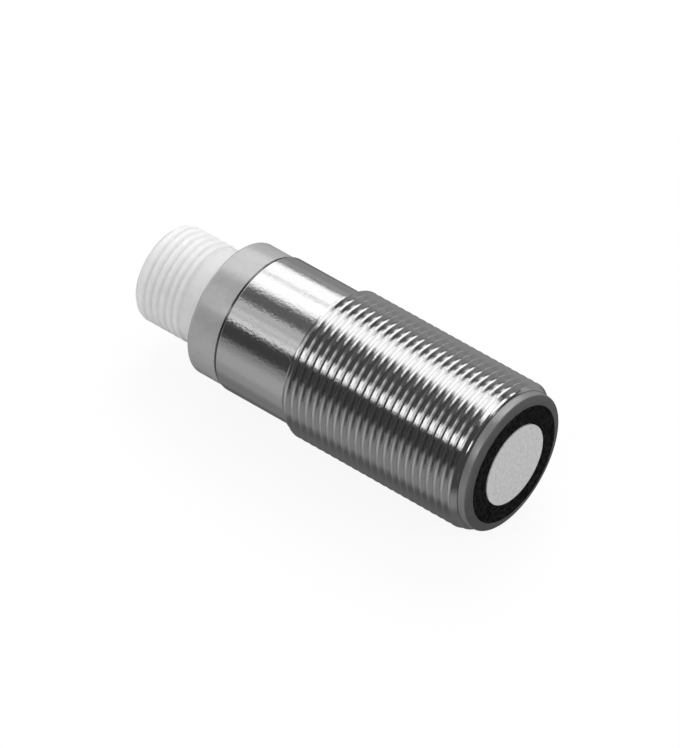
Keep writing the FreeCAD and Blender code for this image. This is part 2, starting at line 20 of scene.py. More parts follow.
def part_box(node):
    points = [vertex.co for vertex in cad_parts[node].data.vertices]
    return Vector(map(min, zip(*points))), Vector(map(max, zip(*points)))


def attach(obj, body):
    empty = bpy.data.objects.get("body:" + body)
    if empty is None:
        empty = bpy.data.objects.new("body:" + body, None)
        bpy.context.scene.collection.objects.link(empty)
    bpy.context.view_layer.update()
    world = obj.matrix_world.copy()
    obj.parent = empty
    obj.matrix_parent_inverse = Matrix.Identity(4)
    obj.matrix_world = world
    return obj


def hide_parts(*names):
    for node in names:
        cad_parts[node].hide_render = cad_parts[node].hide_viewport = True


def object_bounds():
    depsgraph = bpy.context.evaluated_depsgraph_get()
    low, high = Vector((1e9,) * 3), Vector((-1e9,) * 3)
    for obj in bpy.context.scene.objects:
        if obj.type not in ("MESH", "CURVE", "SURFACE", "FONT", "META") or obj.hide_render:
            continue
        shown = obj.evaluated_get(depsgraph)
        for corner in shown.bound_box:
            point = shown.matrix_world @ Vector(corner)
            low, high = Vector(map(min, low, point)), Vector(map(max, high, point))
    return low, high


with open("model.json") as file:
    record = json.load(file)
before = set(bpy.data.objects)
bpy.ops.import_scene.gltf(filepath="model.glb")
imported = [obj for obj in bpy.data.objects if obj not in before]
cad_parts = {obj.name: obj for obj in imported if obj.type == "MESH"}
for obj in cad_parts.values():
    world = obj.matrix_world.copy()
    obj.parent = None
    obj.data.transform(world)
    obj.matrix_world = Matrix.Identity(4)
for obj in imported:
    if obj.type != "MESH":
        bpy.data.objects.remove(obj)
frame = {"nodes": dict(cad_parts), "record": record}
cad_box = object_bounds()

MM = 0.001
print("pieces in the frame:", len(frame["nodes"]))
print("box in mm:", [[round(c / MM, 2) for c in corner] for corner in cad_box])

# %% [markdown]
# ## The camera
#
# The photograph was taken with a long lens from about a metre away, 43 degrees above the barrel and
# 39 degrees round from its side. Such a lens could be faked with an orthographic camera, but the
# front end of the real one is a little larger than the rear, so a true perspective camera is used.
# The aim point lies on the axis, and a small sideways step of the whole camera frames the picture.

# %% Place the camera
VIEW_AZIMUTH = math.radians(39.213)
VIEW_ELEVATION = math.radians(43.297)
VIEW_DISTANCE = 1.04626
VIEW_LENS = 457.55
SENSOR = 36.0
AIM = Vector((-25.1 * MM, 0, 0))
STEP_RIGHT = 0.393 * MM
STEP_DOWN = 0.971 * MM

back = Vector((math.sin(VIEW_AZIMUTH) * math.cos(VIEW_ELEVATION),
               -math.cos(VIEW_AZIMUTH) * math.cos(VIEW_ELEVATION),
               math.sin(VIEW_ELEVATION)))
right = Vector((math.cos(VIEW_AZIMUTH), math.sin(VIEW_AZIMUTH), 0))
up = back.cross(right)

camera_data = bpy.data.cameras.new("studio_camera")
camera_data.lens = VIEW_LENS
camera_data.sensor_width = SENSOR
camera_data.clip_start = 0.01
camera_data.clip_end = 20
camera = bpy.data.objects.new("studio_camera", camera_data)
camera.location = AIM + back * VIEW_DISTANCE + right * STEP_RIGHT - up * STEP_DOWN
camera.rotation_mode = "QUATERNION"
camera.rotation_quaternion = (-back).to_track_quat("-Z", "Y")
bpy.context.scene.collection.objects.link(camera)
bpy.context.scene.camera = camera
bpy.context.scene.view_settings.view_transform = "Standard"
print("camera at mm:", [round(c / MM, 1) for c in camera.location])

# %% [markdown]
# ## Reading sizes from the frame
#
# Most pieces are turned about the X axis, so every corner of such a piece is a full circle of
# vertices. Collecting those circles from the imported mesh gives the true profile, and the threads
# and rounded edges below are worked out from it instead of from copied numbers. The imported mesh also
# has circles part way up its cones, and those are left out.

# %% Read the profile of a turned piece
FEWEST_IN_CIRCLE = 24
SAME_PLACE = 0.005 * MM
LONGEST_CHAMFER = 2.0 * MM
END_SHARE = 0.05


def on_slope(point, corners):
    """Whether a point lies inside a short sloping line between two other corners."""
    for start in corners:
        for end in corners:
            along = Vector(end) - Vector(start)
            if min(abs(along.x), abs(along.y)) < SAME_PLACE or along.length > LONGEST_CHAMFER:
                continue
            share = (Vector(point) - Vector(start)).dot(along) / along.length_squared
            off = (Vector(start) + along * share - Vector(point)).length
            if END_SHARE < share < 1 - END_SHARE and off < SAME_PLACE:
                return True
    return False


def turned_corners(node):
    """Place and radius of each corner of a turned piece, front first, then outwards."""
    circles = {}
    for vertex in frame["nodes"][node].data.vertices:
        place, radius = vertex.co.x, math.hypot(vertex.co.y, vertex.co.z)
        for known in circles:
            if abs(known[0] - place) < SAME_PLACE and abs(known[1] - radius) < SAME_PLACE:
                circles[known] += 1
                break
        else:
            circles[place, radius] = 1
    found = [circle for circle, count in circles.items() if count >= FEWEST_IN_CIRCLE]
    corners = [circle for circle in found if not on_slope(circle, found)]
    return sorted(corners, key=lambda corner: (-round(corner[0] / SAME_PLACE), corner[1]))


for name in ("barrel", "connector_shell", "light_ring", "front_ring"):
    print(name, [(round(x / MM, 2), round(r / MM, 2)) for x, r in turned_corners(name)])

# %% [markdown]
# ## Turned skins
#
# A turned piece with a thread could be made with a Screw modifier, but that leaves loose ends where
# the thread runs out. Here every piece is a grid: one row for each point of its profile, one column
# for each angle. The profile comes first. No turned or moulded corner is perfectly sharp, so each
# corner is given with its rounding, a short curve that is tangent to both sides.

# %% Draw a profile with rounded corners
COLUMNS = 160
CORNER_STEPS = 4
turn = np.linspace(0, 2 * math.pi, COLUMNS + 1)


def rounded(corners):
    """Profile points for corners of (place, radius, rounding); a rounding of 0 stays sharp."""
    points = []
    for index, (place, radius, rounding) in enumerate(corners):
        here = Vector((place, radius))
        if rounding == 0:
            points.append(tuple(here))
            continue
        before = Vector(corners[index - 1][:2])
        after = Vector(corners[(index + 1) % len(corners)][:2])
        start = here + (before - here).normalized() * rounding
        end = here + (after - here).normalized() * rounding
        for step in range(CORNER_STEPS + 1):
            share = step / CORNER_STEPS
            point = start * (1 - share) ** 2 + here * 2 * share * (1 - share) + end * share ** 2
            points.append(tuple(point))
    return points


def plain_rows(points):
    """A straight row all round for each profile point."""
    return [(np.full(COLUMNS + 1, place), np.full(COLUMNS + 1, radius)) for place, radius in points]


print("columns round each piece:", COLUMNS, "points on a rounded corner:", CORNER_STEPS + 1)

# %% [markdown]
# A thread is a set of rows that climb by one pitch in a full turn and are held between two stops, so
# it begins and ends by itself. Its form is given by the widths of crest and root and by its depth,
# and the flanks between them come out straight. Stops also limit the radius, which is how a chamfer
# or a rounded end cuts the thread down.

# %% Lay out a thread
def thread_form(pitch, crest, root, depth, crest_soft, root_soft):
    """One turn of a thread as (distance from the crest's middle, depth), with softened corners.

    crest and root are the widths of the flats there; the flanks between them are straight.
    """
    crest_end = crest / 2
    root_start = (pitch - root) / 2
    return rounded([(0, 0, 0), (crest_end, 0, crest_soft), (root_start, depth, root_soft),
                    (pitch - root_start, depth, root_soft), (pitch - crest_end, 0, crest_soft),
                    (pitch, 0, 0)])[:-1]


def thread_rows(pitch, crest, form, stops):
    """Rows of a right-hand thread between its stops, front first.

    stops lists (place, lowest radius, highest radius), between which the thread is held.
    """
    places, lowest, highest = [np.array(column)[::-1] for column in zip(*stops)]
    front, rear = places[-1], places[0]
    steps, cuts = zip(*(form + [(pitch, form[0][1])]))
    lead = pitch * turn / (2 * math.pi)
    rows = []
    for turn_number in range(math.ceil((front - rear) / pitch) + 2):
        for step, _cut in form:
            place = np.clip(front - turn_number * pitch - step + lead, rear, front)
            cut = np.interp((front - place + lead) % pitch, steps, cuts)
            radius = np.clip(crest - cut, np.interp(place, places, lowest),
                             np.interp(place, places, highest))
            rows.append((place, radius))
    return rows


sharp = thread_form(MM, crest=MM / 8, root=MM / 4, depth=MM / 2, crest_soft=0, root_soft=0)
print("one turn of a sharp thread in mm:", [(round(x / MM, 3), round(d / MM, 3)) for x, d in sharp])

# %% [markdown]
# The rows become a mesh. One pass with BMesh then merges what meets at the seam and at the stops,
# drops the faces that lost their area there and turns the rest outwards. A skin in which every edge
# has exactly two faces is closed, and only a closed one can be joined or cut cleanly by a Boolean.

# %% Turn rows into a mesh
MERGE = 0.0002 * MM
SMOOTH_BELOW = math.radians(33)


def tidy(mesh):
    """Merge what meets, drop faces without area, turn all faces outwards and smooth soft edges."""
    work = bmesh.new()
    work.from_mesh(mesh)
    bmesh.ops.remove_doubles(work, verts=work.verts, dist=MERGE)
    bmesh.ops.dissolve_degenerate(work, dist=MERGE, edges=work.edges)
    bmesh.ops.recalc_face_normals(work, faces=work.faces)
    work.to_mesh(mesh)
    work.free()
    mesh.polygons.foreach_set("use_smooth", [True] * len(mesh.polygons))
    mesh.set_sharp_from_angle(angle=SMOOTH_BELOW)


def skin(name, rows, closed=True):
    """A mesh through the rows, which go once round the section or from axis to axis."""
    vertices = []
    for place, radius in rows:
        vertices += list(zip(place, radius * np.cos(turn), radius * np.sin(turn)))
    count, width = len(rows), COLUMNS + 1
    faces = []
    for row in range(count if closed else count - 1):
        after = (row + 1) % count
        for column in range(COLUMNS):
            faces.append((row * width + column, row * width + column + 1,
                          after * width + column + 1, after * width + column))
    mesh = bpy.data.meshes.new(name)
    mesh.from_pydata(vertices, [], faces)
    tidy(mesh)
    piece = bpy.data.objects.new(name, mesh)
    bpy.context.scene.collection.objects.link(piece)
    return piece


def open_edges(piece):
    """How many edges of a mesh don't have exactly two faces."""
    work = bmesh.new()
    work.from_mesh(piece.data)
    found = sum(1 for edge in work.edges if len(edge.link_faces) != 2)
    work.free()
    return found


print("edges sharper than this stay sharp, in degrees:", round(math.degrees(SMOOTH_BELOW)))

# %% [markdown]
# ## The barrel
#
# The barrel is turned brass, threaded M18 x 1 over its front two thirds and then nickel plated. Its
# thread is the strongest thing in the picture, so it is a real helix with a narrow crest and a wider
# root. The angle of its flanks matters: light bounces from one flank to the next, and only with
# flanks at 35 degrees does it come back as the rows of beads that the photograph shows. The thread
# is cut down by the chamfer in front and by the run-out behind, as a die would leave it.

# %% Cut the barrel's thread
BARREL_PITCH = 1.0 * MM
BARREL_CREST = 0.03 * MM
BARREL_ROOT = 0.31 * MM
BARREL_FLANK = math.radians(35.2)
BARREL_CREST_SOFT = 0.012 * MM
BARREL_ROOT_SOFT = 0.05 * MM
BARREL_EDGE = 0.06 * MM

(bore_front, chamfer_front, crest_front, crest_rear, shank_front, shank_rear, bore_rear,
 rim_rear) = turned_corners("barrel")
barrel_stops = [(place, 0, radius) for place, radius in
                (chamfer_front, crest_front, crest_rear, shank_front)]
barrel_depth = (BARREL_PITCH - BARREL_CREST - BARREL_ROOT) / 2 / math.tan(BARREL_FLANK)
barrel_form = thread_form(BARREL_PITCH, BARREL_CREST, BARREL_ROOT, barrel_depth,
                          BARREL_CREST_SOFT, BARREL_ROOT_SOFT)
barrel_thread = thread_rows(BARREL_PITCH, crest_front[1], barrel_form, barrel_stops)
barrel_rear = rounded([shank_front + (0,), shank_rear + (BARREL_EDGE,), rim_rear + (BARREL_EDGE,),
                       bore_rear + (0,), bore_front + (0,)])
barrel = skin("threaded_barrel", barrel_thread + plain_rows(barrel_rear))
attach(barrel, "root")
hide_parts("barrel")
print("barrel faces:", len(barrel.data.polygons), "open edges:", open_edges(barrel))

# %% [markdown]
# ## The connector
#
# The connector is one milky moulding with an M12 x 1 thread. A standard thread would be 0.6 mm deep,
# but the photograph shows only faint lines here, so it is a row of broad, low ribs with narrow, soft
# grooves between them. The thread grows out of the plain neck and fades into the rounded rim at the
# open end. The bore behind takes the plug.

# %% Mould the connector
PLUG_PITCH = 1.0 * MM
PLUG_THREAD_DEPTH = 0.18 * MM
PLUG_CREST = 0.42 * MM
PLUG_ROOT = 0.16 * MM
PLUG_SOFT = 0.07 * MM
PLUG_THREAD_START = 0.7 * MM
PLUG_END_ROUND = 0.3 * MM
NECK_STEP = 0.2 * MM
MOUTH_ROUND = 0.1 * MM

(flange_front, neck_front, flange_rear, socket_floor, neck_rear, plug_front, plug_rear, mouth_wall,
 mouth, rim) = turned_corners("connector_shell")
plug_root = plug_front[1] - PLUG_THREAD_DEPTH
rim_turns = rounded([plug_front + (0,), plug_rear + (PLUG_END_ROUND,), rim + (0,)])[1:]
plug_stops = [
    (neck_rear[0], neck_rear[1], neck_rear[1]),
    (neck_rear[0] - NECK_STEP, neck_rear[1] - NECK_STEP, plug_front[1]),
    (neck_rear[0] - PLUG_THREAD_START, plug_root, plug_front[1]),
] + [(place, min(plug_root, radius), radius) for place, radius in rim_turns]
connector_front = rounded([(flange_front[0], 0, 0), flange_front + (0,), flange_rear + (0,),
                           neck_front + (0,), neck_rear + (0,)])
connector_rear = rounded([rim + (0,), mouth + (MOUTH_ROUND,), mouth_wall + (MOUTH_ROUND,),
                          socket_floor + (0,), (socket_floor[0], 0, 0)])
plug_form = thread_form(PLUG_PITCH, PLUG_CREST, PLUG_ROOT, PLUG_THREAD_DEPTH, PLUG_SOFT, PLUG_SOFT)
plug_thread = thread_rows(PLUG_PITCH, plug_front[1], plug_form, plug_stops)
connector = skin("threaded_connector", plain_rows(connector_front) + plug_thread
                 + plain_rows(connector_rear), closed=False)
print("connector faces:", len(connector.data.polygons), "open edges:", open_edges(connector))

# %% [markdown]
# A rib on the socket's wall lets the plug in one way round. It is part of the moulding, so it is
# joined to the same mesh with a Boolean instead of being left as a loose block. The four pins pass
# through holes in the socket's floor, and those are cut in the same way.

# %% Add the coding rib and the holes of the pins
KEY_WIDTH = 1.0 * MM
KEY_HEIGHT = 0.6 * MM
KEY_SETBACK = 1.6 * MM
KEY_ROOT = 0.3 * MM
KEY_ROUND = 0.08 * MM
KEY_ANGLE = math.radians(45)
KEY_ROUND_STEPS = 3
HOLE_SIDES = 48
HOLE_LENGTH = 6.0 * MM
HOLE_MIDDLE = 1.5 * MM


def coding_rib():
    """A rounded bar along the socket's wall, its root inside the wall and in the floor."""
    rib = bpy.data.meshes.new("coding_rib")
    work = bmesh.new()
    bmesh.ops.create_cube(work, size=1)
    rear = mouth[0] + KEY_SETBACK
    length = socket_floor[0] + KEY_ROOT - rear
    for vertex in work.verts:
        vertex.co.x = rear + (vertex.co.x + 0.5) * length
        vertex.co.y *= KEY_WIDTH
        vertex.co.z = socket_floor[1] - KEY_HEIGHT + (vertex.co.z + 0.5) * (KEY_HEIGHT + KEY_ROOT)
    bmesh.ops.bevel(work, geom=work.edges[:], offset=KEY_ROUND, segments=KEY_ROUND_STEPS,
                    profile=0.5, affect="EDGES")
    bmesh.ops.recalc_face_normals(work, faces=work.faces)
    work.to_mesh(rib)
    work.free()
    block = bpy.data.objects.new("coding_rib", rib)
    block.rotation_euler.x = KEY_ANGLE
    bpy.context.scene.collection.objects.link(block)
    return block


def pin_hole(node):
    """A round bar where a contact pin passes through the socket's floor."""
    low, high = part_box(node)
    hole = bpy.data.meshes.new("pin_hole")
    work = bmesh.new()
    radius = (high.y - low.y) / 2
    bmesh.ops.create_cone(work, cap_ends=True, segments=HOLE_SIDES, radius1=radius,
                          radius2=radius, depth=HOLE_LENGTH)
    bmesh.ops.rotate(work, verts=work.verts, matrix=Matrix.Rotation(math.pi / 2, 3, "Y"))
    work.to_mesh(hole)
    work.free()
    block = bpy.data.objects.new("pin_hole", hole)
    block.location = (socket_floor[0] + HOLE_MIDDLE, (low.y + high.y) / 2, (low.z + high.z) / 2)
    bpy.context.scene.collection.objects.link(block)
    return block


def combine(piece, block, operation):
    """Join a block to a piece as one solid, or cut it out, and drop the block."""
    boolean = piece.modifiers.new(block.name, "BOOLEAN")
    boolean.operation = operation
    boolean.solver = "EXACT"
    boolean.object = block
    bpy.context.view_layer.update()
    combined = bpy.data.meshes.new_from_object(
        piece.evaluated_get(bpy.context.evaluated_depsgraph_get()))
    piece.modifiers.clear()
    piece.data = combined
    bpy.data.objects.remove(block)
    tidy(piece.data)


combine(connector, coding_rib(), "UNION")
for pin in sorted(name for name in frame["nodes"] if name.startswith("contact_pin_")):
    combine(connector, pin_hole(pin), "DIFFERENCE")
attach(connector, "root")
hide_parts("connector_shell")
print("with its rib:", len(connector.data.polygons), "faces, open edges:", open_edges(connector))

# %% [markdown]
# ## Edges of the other pieces
#
# The disc, the foam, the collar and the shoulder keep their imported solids, which already have the
# right form. Sharp edges look false, though, because no moulded edge is sharp. A Weld modifier closes
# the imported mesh, a Bevel rounds the edges by about a tenth of a millimetre, and the solid itself
# stays as it is.

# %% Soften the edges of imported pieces
WELD = 0.001 * MM
EDGE_ANGLE = math.radians(30)
EDGE_STEPS = 3
EDGE_ROUNDING = {
    "matching_layer": 0.04 * MM,
    "decoupling_foam": 0.12 * MM,
    "front_ring": 0.1 * MM,
    "light_ring": 0.14 * MM,
}


def soften(node, width):
    """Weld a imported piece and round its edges, with modifiers only."""
    piece = frame["nodes"][node]
    weld = piece.modifiers.new("weld", "WELD")
    weld.merge_threshold = WELD
    bevel = piece.modifiers.new("soft_edges", "BEVEL")
    bevel.width = width
    bevel.segments = EDGE_STEPS
    bevel.limit_method = "ANGLE"
    bevel.angle_limit = EDGE_ANGLE


for name, width in EDGE_ROUNDING.items():
    soften(name, width)
    print("softened", name, "by mm", round(width / MM, 2))

# %% [markdown]
# ## Effects that several finishes share
#
# Grain, a change of tone and a zone along the axis come up in several finishes. Each is a shader
# group that is built once and placed with its own values, so a finish reads as a short recipe. Two
# helpers come first: one opens a group with its sockets, the other sets a Math node whose inputs
# may be numbers or the outputs of other nodes.

# %% Helpers for shader groups
def group(name, inputs, outputs):
    """A new shader group with its sockets, its input node and its output node."""
    tree = bpy.data.node_groups.new(name, "ShaderNodeTree")
    for label, kind, default in inputs:
        socket = tree.interface.new_socket(label, in_out="INPUT", socket_type=kind)
        socket.default_value = default
    for label, kind in outputs:
        tree.interface.new_socket(label, in_out="OUTPUT", socket_type=kind)
    return tree, tree.nodes.new("NodeGroupInput"), tree.nodes.new("NodeGroupOutput")


def math_node(tree, operation, first, second=0.0):
    """A Math node whose inputs are sockets or numbers."""
    node = tree.nodes.new("ShaderNodeMath")
    node.operation = operation
    for slot, given in enumerate((first, second)):
        if isinstance(given, (int, float)):
            node.inputs[slot].default_value = given
        else:
            tree.links.new(given, node.inputs[slot])
    return node.outputs[0]


print("shader groups so far:", len(bpy.data.node_groups))

# %% [markdown]
# Grain is a noise texture in object space, in metres, so that a grain of 0.4 mm is 0.4 mm on every
# piece. An image of the grain would need the mesh unwrapped, and would show its pixels close up. The
# same noise gives a mask for colour and roughness and, through a Bump node, a relief that is given
# as a real depth.

# %% Build the grain
GRAIN_OCTAVES = 3
GRAIN_ROUGHNESS = 0.6


def make_grain():
    """Irregular grain of a given size, as a mask from 0 to 1 and as a bumped normal."""
    tree, given, out = group("grain", [
        ("Size", "NodeSocketFloat", 0.2 * MM), ("Contrast", "NodeSocketFloat", 1.0),
        ("Relief", "NodeSocketFloat", 0.0)],
        [("Mask", "NodeSocketFloat"), ("Normal", "NodeSocketVector")])
    place = tree.nodes.new("ShaderNodeTexCoord")
    noise = tree.nodes.new("ShaderNodeTexNoise")
    noise.inputs["Detail"].default_value = GRAIN_OCTAVES
    noise.inputs["Roughness"].default_value = GRAIN_ROUGHNESS
    tree.links.new(place.outputs["Object"], noise.inputs["Vector"])
    tree.links.new(math_node(tree, "DIVIDE", 1.0, given.outputs["Size"]), noise.inputs["Scale"])
    centred = math_node(tree, "SUBTRACT", noise.outputs["Fac"], 0.5)
    spread = math_node(tree, "MULTIPLY", centred, given.outputs["Contrast"])
    mask = math_node(tree, "ADD", spread, 0.5)
    mask.node.use_clamp = True
    bump = tree.nodes.new("ShaderNodeBump")
    tree.links.new(given.outputs["Relief"], bump.inputs["Distance"])
    tree.links.new(mask, bump.inputs["Height"])
    tree.links.new(mask, out.inputs["Mask"])
    tree.links.new(bump.outputs["Normal"], out.inputs["Normal"])
    return tree


GRAIN = make_grain()
print("built the group", GRAIN.name, "with", len(GRAIN.nodes), "nodes")

# %% [markdown]
# A mask is only a number from 0 to 1. These two groups make something of it: a colour between a dark
# and a light one, and a value between a low and a high one, which serves for roughness and for the
# depth of a relief. A Color Ramp could do the first, but its colours can't be set from outside.

# %% Build the two blends
def make_two_tone():
    """A colour between a dark and a light one, by a mask."""
    tree, given, out = group("two_tone", [
        ("Dark", "NodeSocketColor", (0, 0, 0, 1)), ("Light", "NodeSocketColor", (1, 1, 1, 1)),
        ("Mask", "NodeSocketFloat", 0.5)],
        [("Color", "NodeSocketColor")])
    mix = tree.nodes.new("ShaderNodeMix")
    mix.data_type = "RGBA"
    tree.links.new(given.outputs["Mask"], mix.inputs["Factor"])
    tree.links.new(given.outputs["Dark"], mix.inputs["A"])
    tree.links.new(given.outputs["Light"], mix.inputs["B"])
    tree.links.new(mix.outputs["Result"], out.inputs["Color"])
    return tree


def make_between():
    """A value between a low and a high one, by a mask."""
    tree, given, out = group("between", [
        ("Low", "NodeSocketFloat", 0.2), ("High", "NodeSocketFloat", 0.4),
        ("Mask", "NodeSocketFloat", 0.5)],
        [("Value", "NodeSocketFloat")])
    span = math_node(tree, "SUBTRACT", given.outputs["High"], given.outputs["Low"])
    step = math_node(tree, "MULTIPLY", span, given.outputs["Mask"])
    tree.links.new(math_node(tree, "ADD", given.outputs["Low"], step), out.inputs["Value"])
    return tree


TWO_TONE = make_two_tone()
BETWEEN = make_between()
print("built the groups", TWO_TONE.name, "and", BETWEEN.name)

# %% [markdown]
# Some changes belong to a place: a joint, a side, the smooth end of the barrel. Separate materials
# for parts of a mesh would need its faces picked out, and would change with a step at the faces'
# edges. A zone is worked out from the place of each point instead: it is 1 between two places along
# the X axis and outside a radius, and falls to 0 over a short edge.

# %% Build the zone
OUT_OF_REACH = 1.0
ZONE_EDGE = 0.05 * MM


def make_zone():
    """A mask that is 1 from Rear to Front along the X axis and farther than Inside from it."""
    tree, given, out = group("zone", [
        ("Rear", "NodeSocketFloat", -OUT_OF_REACH), ("Front", "NodeSocketFloat", OUT_OF_REACH),
        ("Inside", "NodeSocketFloat", 0.0)],
        [("Mask", "NodeSocketFloat")])
    place = tree.nodes.new("ShaderNodeTexCoord")
    split = tree.nodes.new("ShaderNodeSeparateXYZ")
    tree.links.new(place.outputs["Object"], split.inputs[0])
    across = math_node(tree, "ADD", math_node(tree, "POWER", split.outputs["Y"], 2.0),
                       math_node(tree, "POWER", split.outputs["Z"], 2.0))
    radius = math_node(tree, "SQRT", across)
    past_rear = math_node(tree, "SUBTRACT", split.outputs["X"], given.outputs["Rear"])
    short_of_front = math_node(tree, "SUBTRACT", given.outputs["Front"], split.outputs["X"])
    outside = math_node(tree, "SUBTRACT", radius, given.outputs["Inside"])
    depth = math_node(tree, "MINIMUM", past_rear, short_of_front)
    depth = math_node(tree, "MINIMUM", depth, outside)
    mask = math_node(tree, "DIVIDE", depth, ZONE_EDGE)
    mask.node.use_clamp = True
    tree.links.new(mask, out.inputs["Mask"])
    return tree


ZONE = make_zone()
print("shader groups:", [tree.name for tree in bpy.data.node_groups])

# %% [markdown]
# A finish is a Principled BSDF with the groups wired into it. What is the same all over the surface,
# such as the index of refraction or the weight of the subsurface, is set on the shader itself.

# %% A helper for finishes
def place_group(tree, shared, **values):
    """Place a shared group in a material, with numbers, colours or sockets for its inputs."""
    node = tree.nodes.new("ShaderNodeGroup")
    node.node_tree = shared
    for label, given in values.items():
        if isinstance(given, bpy.types.NodeSocket):
            tree.links.new(given, node.inputs[label])
        else:
            node.inputs[label].default_value = given
    return node.outputs


def grey(level):
    """A neutral grey of one level."""
    return (level, level, level, 1)


def finish(name, dark, light, grain, contrast, relief, rough, **fixed):
    """A finish with grain of one size in its colour, its roughness and its relief."""
    material = bpy.data.materials.new(name)
    material.use_nodes = True
    tree = material.node_tree
    shader = tree.nodes["Principled BSDF"]
    speckle = place_group(tree, GRAIN, Size=grain, Contrast=contrast, Relief=relief)
    tone = place_group(tree, TWO_TONE, Dark=dark, Light=light, Mask=speckle["Mask"])
    polish = place_group(tree, BETWEEN, Low=rough[0], High=rough[1], Mask=speckle["Mask"])
    tree.links.new(tone["Color"], shader.inputs["Base Color"])
    tree.links.new(polish["Value"], shader.inputs["Roughness"])
    tree.links.new(speckle["Normal"], shader.inputs["Normal"])
    for label, given in fixed.items():
        shader.inputs[label.replace("_", " ")].default_value = given
    return material


print("a middle grey is", grey(0.5))

# %% [markdown]
# ## The finishes that show
#
# The nickel is a bright mirror with a slight orange peel, about a third of a millimetre across. The
# disc is a resin full of tiny glass bubbles, dead matt and finely speckled. The foam is black and
# pitted. The collar is a satin grey moulding. Shoulder and connector let some light in, which the
# subsurface gives. Everything here is neutral grey, so light of every colour travels equally far in
# them; the shader's own setting would tint their thin edges.

# %% Mix the finishes that show
NICKEL_RELIEF = 0.009 * MM
EVEN_SCATTER = (1, 1, 1)
nickel = finish("nickel_plate", dark=grey(0.70), light=grey(0.76), grain=0.35 * MM, contrast=1.0,
                relief=NICKEL_RELIEF, rough=(0.08, 0.13), Metallic=1.0)
bubble_resin = finish("glass_bubble_resin", dark=grey(0.40), light=grey(0.55), grain=0.4 * MM,
                      contrast=2.2, relief=0.03 * MM, rough=(0.75, 0.9), Specular_IOR_Level=0.2)
black_foam = finish("pitted_foam", dark=grey(0.0), light=grey(0.016), grain=0.45 * MM,
                    contrast=3.0, relief=0.20 * MM, rough=(0.6, 0.9), Specular_IOR_Level=0.08)
collar_grey = finish("satin_collar", dark=grey(0.045), light=grey(0.075), grain=0.4 * MM,
                     contrast=1.4, relief=0.012 * MM, rough=(0.25, 0.36), IOR=1.9,
                     Specular_IOR_Level=0.95)
shoulder_grey = finish("shoulder_plastic", dark=grey(0.34), light=grey(0.40), grain=0.7 * MM,
                       contrast=1.4, relief=0.014 * MM, rough=(0.18, 0.28), IOR=1.8,
                       Specular_IOR_Level=1.0, Subsurface_Weight=0.5,
                       Subsurface_Radius=EVEN_SCATTER, Subsurface_Scale=0.8 * MM)
milky_white = finish("milky_moulding", dark=grey(0.66), light=grey(0.74), grain=0.8 * MM,
                     contrast=1.4, relief=0.016 * MM, rough=(0.34, 0.46), Specular_IOR_Level=0.35,
                     Subsurface_Weight=1.0, Subsurface_Radius=EVEN_SCATTER,
                     Subsurface_Scale=1.6 * MM)
shown = [nickel, bubble_resin, black_foam, collar_grey, shoulder_grey, milky_white]
print("finishes that show:", [material.name for material in shown])

# %% [markdown]
# Three zones finish them. A painted shade darkens the shoulder along its joint with the barrel, where
# the gap would be in shadow. The collar's side is painted lighter than its cone, a painted sheen for
# the light it catches from above. And the nickel's orange peel is deeper on the smooth shank, where
# it mottles the edges of the bands, than on the narrow flanks of the thread, where it would smear
# the beads of light.

# %% Change the finishes by zone
# Width, reach and tone of the painted shade at the joint, then depth and tone of the painted sheen on
# the collar's side.
SEAM_SHADE_WIDTH = 0.30 * MM
SEAM_SHADE_REACH = 1.0 * MM
PAINTED_SEAM_SHADE = grey(0.01)
SHEEN_DEPTH = 0.09 * MM
PAINTED_SIDE_SHEEN = grey(0.15)
SHANK_RELIEF = 0.020 * MM


def paint_light_where(material, color, **zone):
    """Paint light or shade into a finish's colour in a zone."""
    tree = material.node_tree
    shader = tree.nodes["Principled BSDF"]
    before = shader.inputs["Base Color"].links[0].from_socket
    mask = place_group(tree, ZONE, **zone)
    tone = place_group(tree, TWO_TONE, Dark=before, Light=color, Mask=mask["Mask"])
    tree.links.new(tone["Color"], shader.inputs["Base Color"])


def relief_where(material, shallow, deep, **zone):
    """Deepen a finish's grain in a zone."""
    tree = material.node_tree
    speckle = tree.nodes["Principled BSDF"].inputs["Normal"].links[0].from_node
    mask = place_group(tree, ZONE, **zone)
    relief = place_group(tree, BETWEEN, Low=shallow, High=deep, Mask=mask["Mask"])
    tree.links.new(relief["Value"], speckle.inputs["Relief"])


shoulder_front = max(place for place, radius in turned_corners("light_ring")
                     if radius > bore_rear[1])
collar_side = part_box("front_ring")[1].z
# Painted shade: the shoulder's colour turns dark along its joint with the barrel, where the gap would
# be in shadow.
paint_light_where(shoulder_grey, PAINTED_SEAM_SHADE, Rear=shoulder_front - SEAM_SHADE_WIDTH,
           Front=shoulder_front + SEAM_SHADE_REACH)
# Painted sheen: the collar's side is painted lighter than its cone, for the light it catches from
# above.
paint_light_where(collar_grey, PAINTED_SIDE_SHEEN, Inside=collar_side - SHEEN_DEPTH)
relief_where(nickel, NICKEL_RELIEF, SHANK_RELIEF, Front=crest_rear[0])
print("joint at mm:", round(shoulder_front / MM, 2), "collar radius mm:", round(collar_side / MM, 2))

# %% [markdown]
# ## The finishes inside
#
# The pieces inside can't be seen here, but someone may open the model, so each has the finish of the
# real thing: green boards, gold pins, black mouldings, dark ferrite, copper wire, amber strip film.
# They use the same recipe, because a bump and two tones are enough at their size.

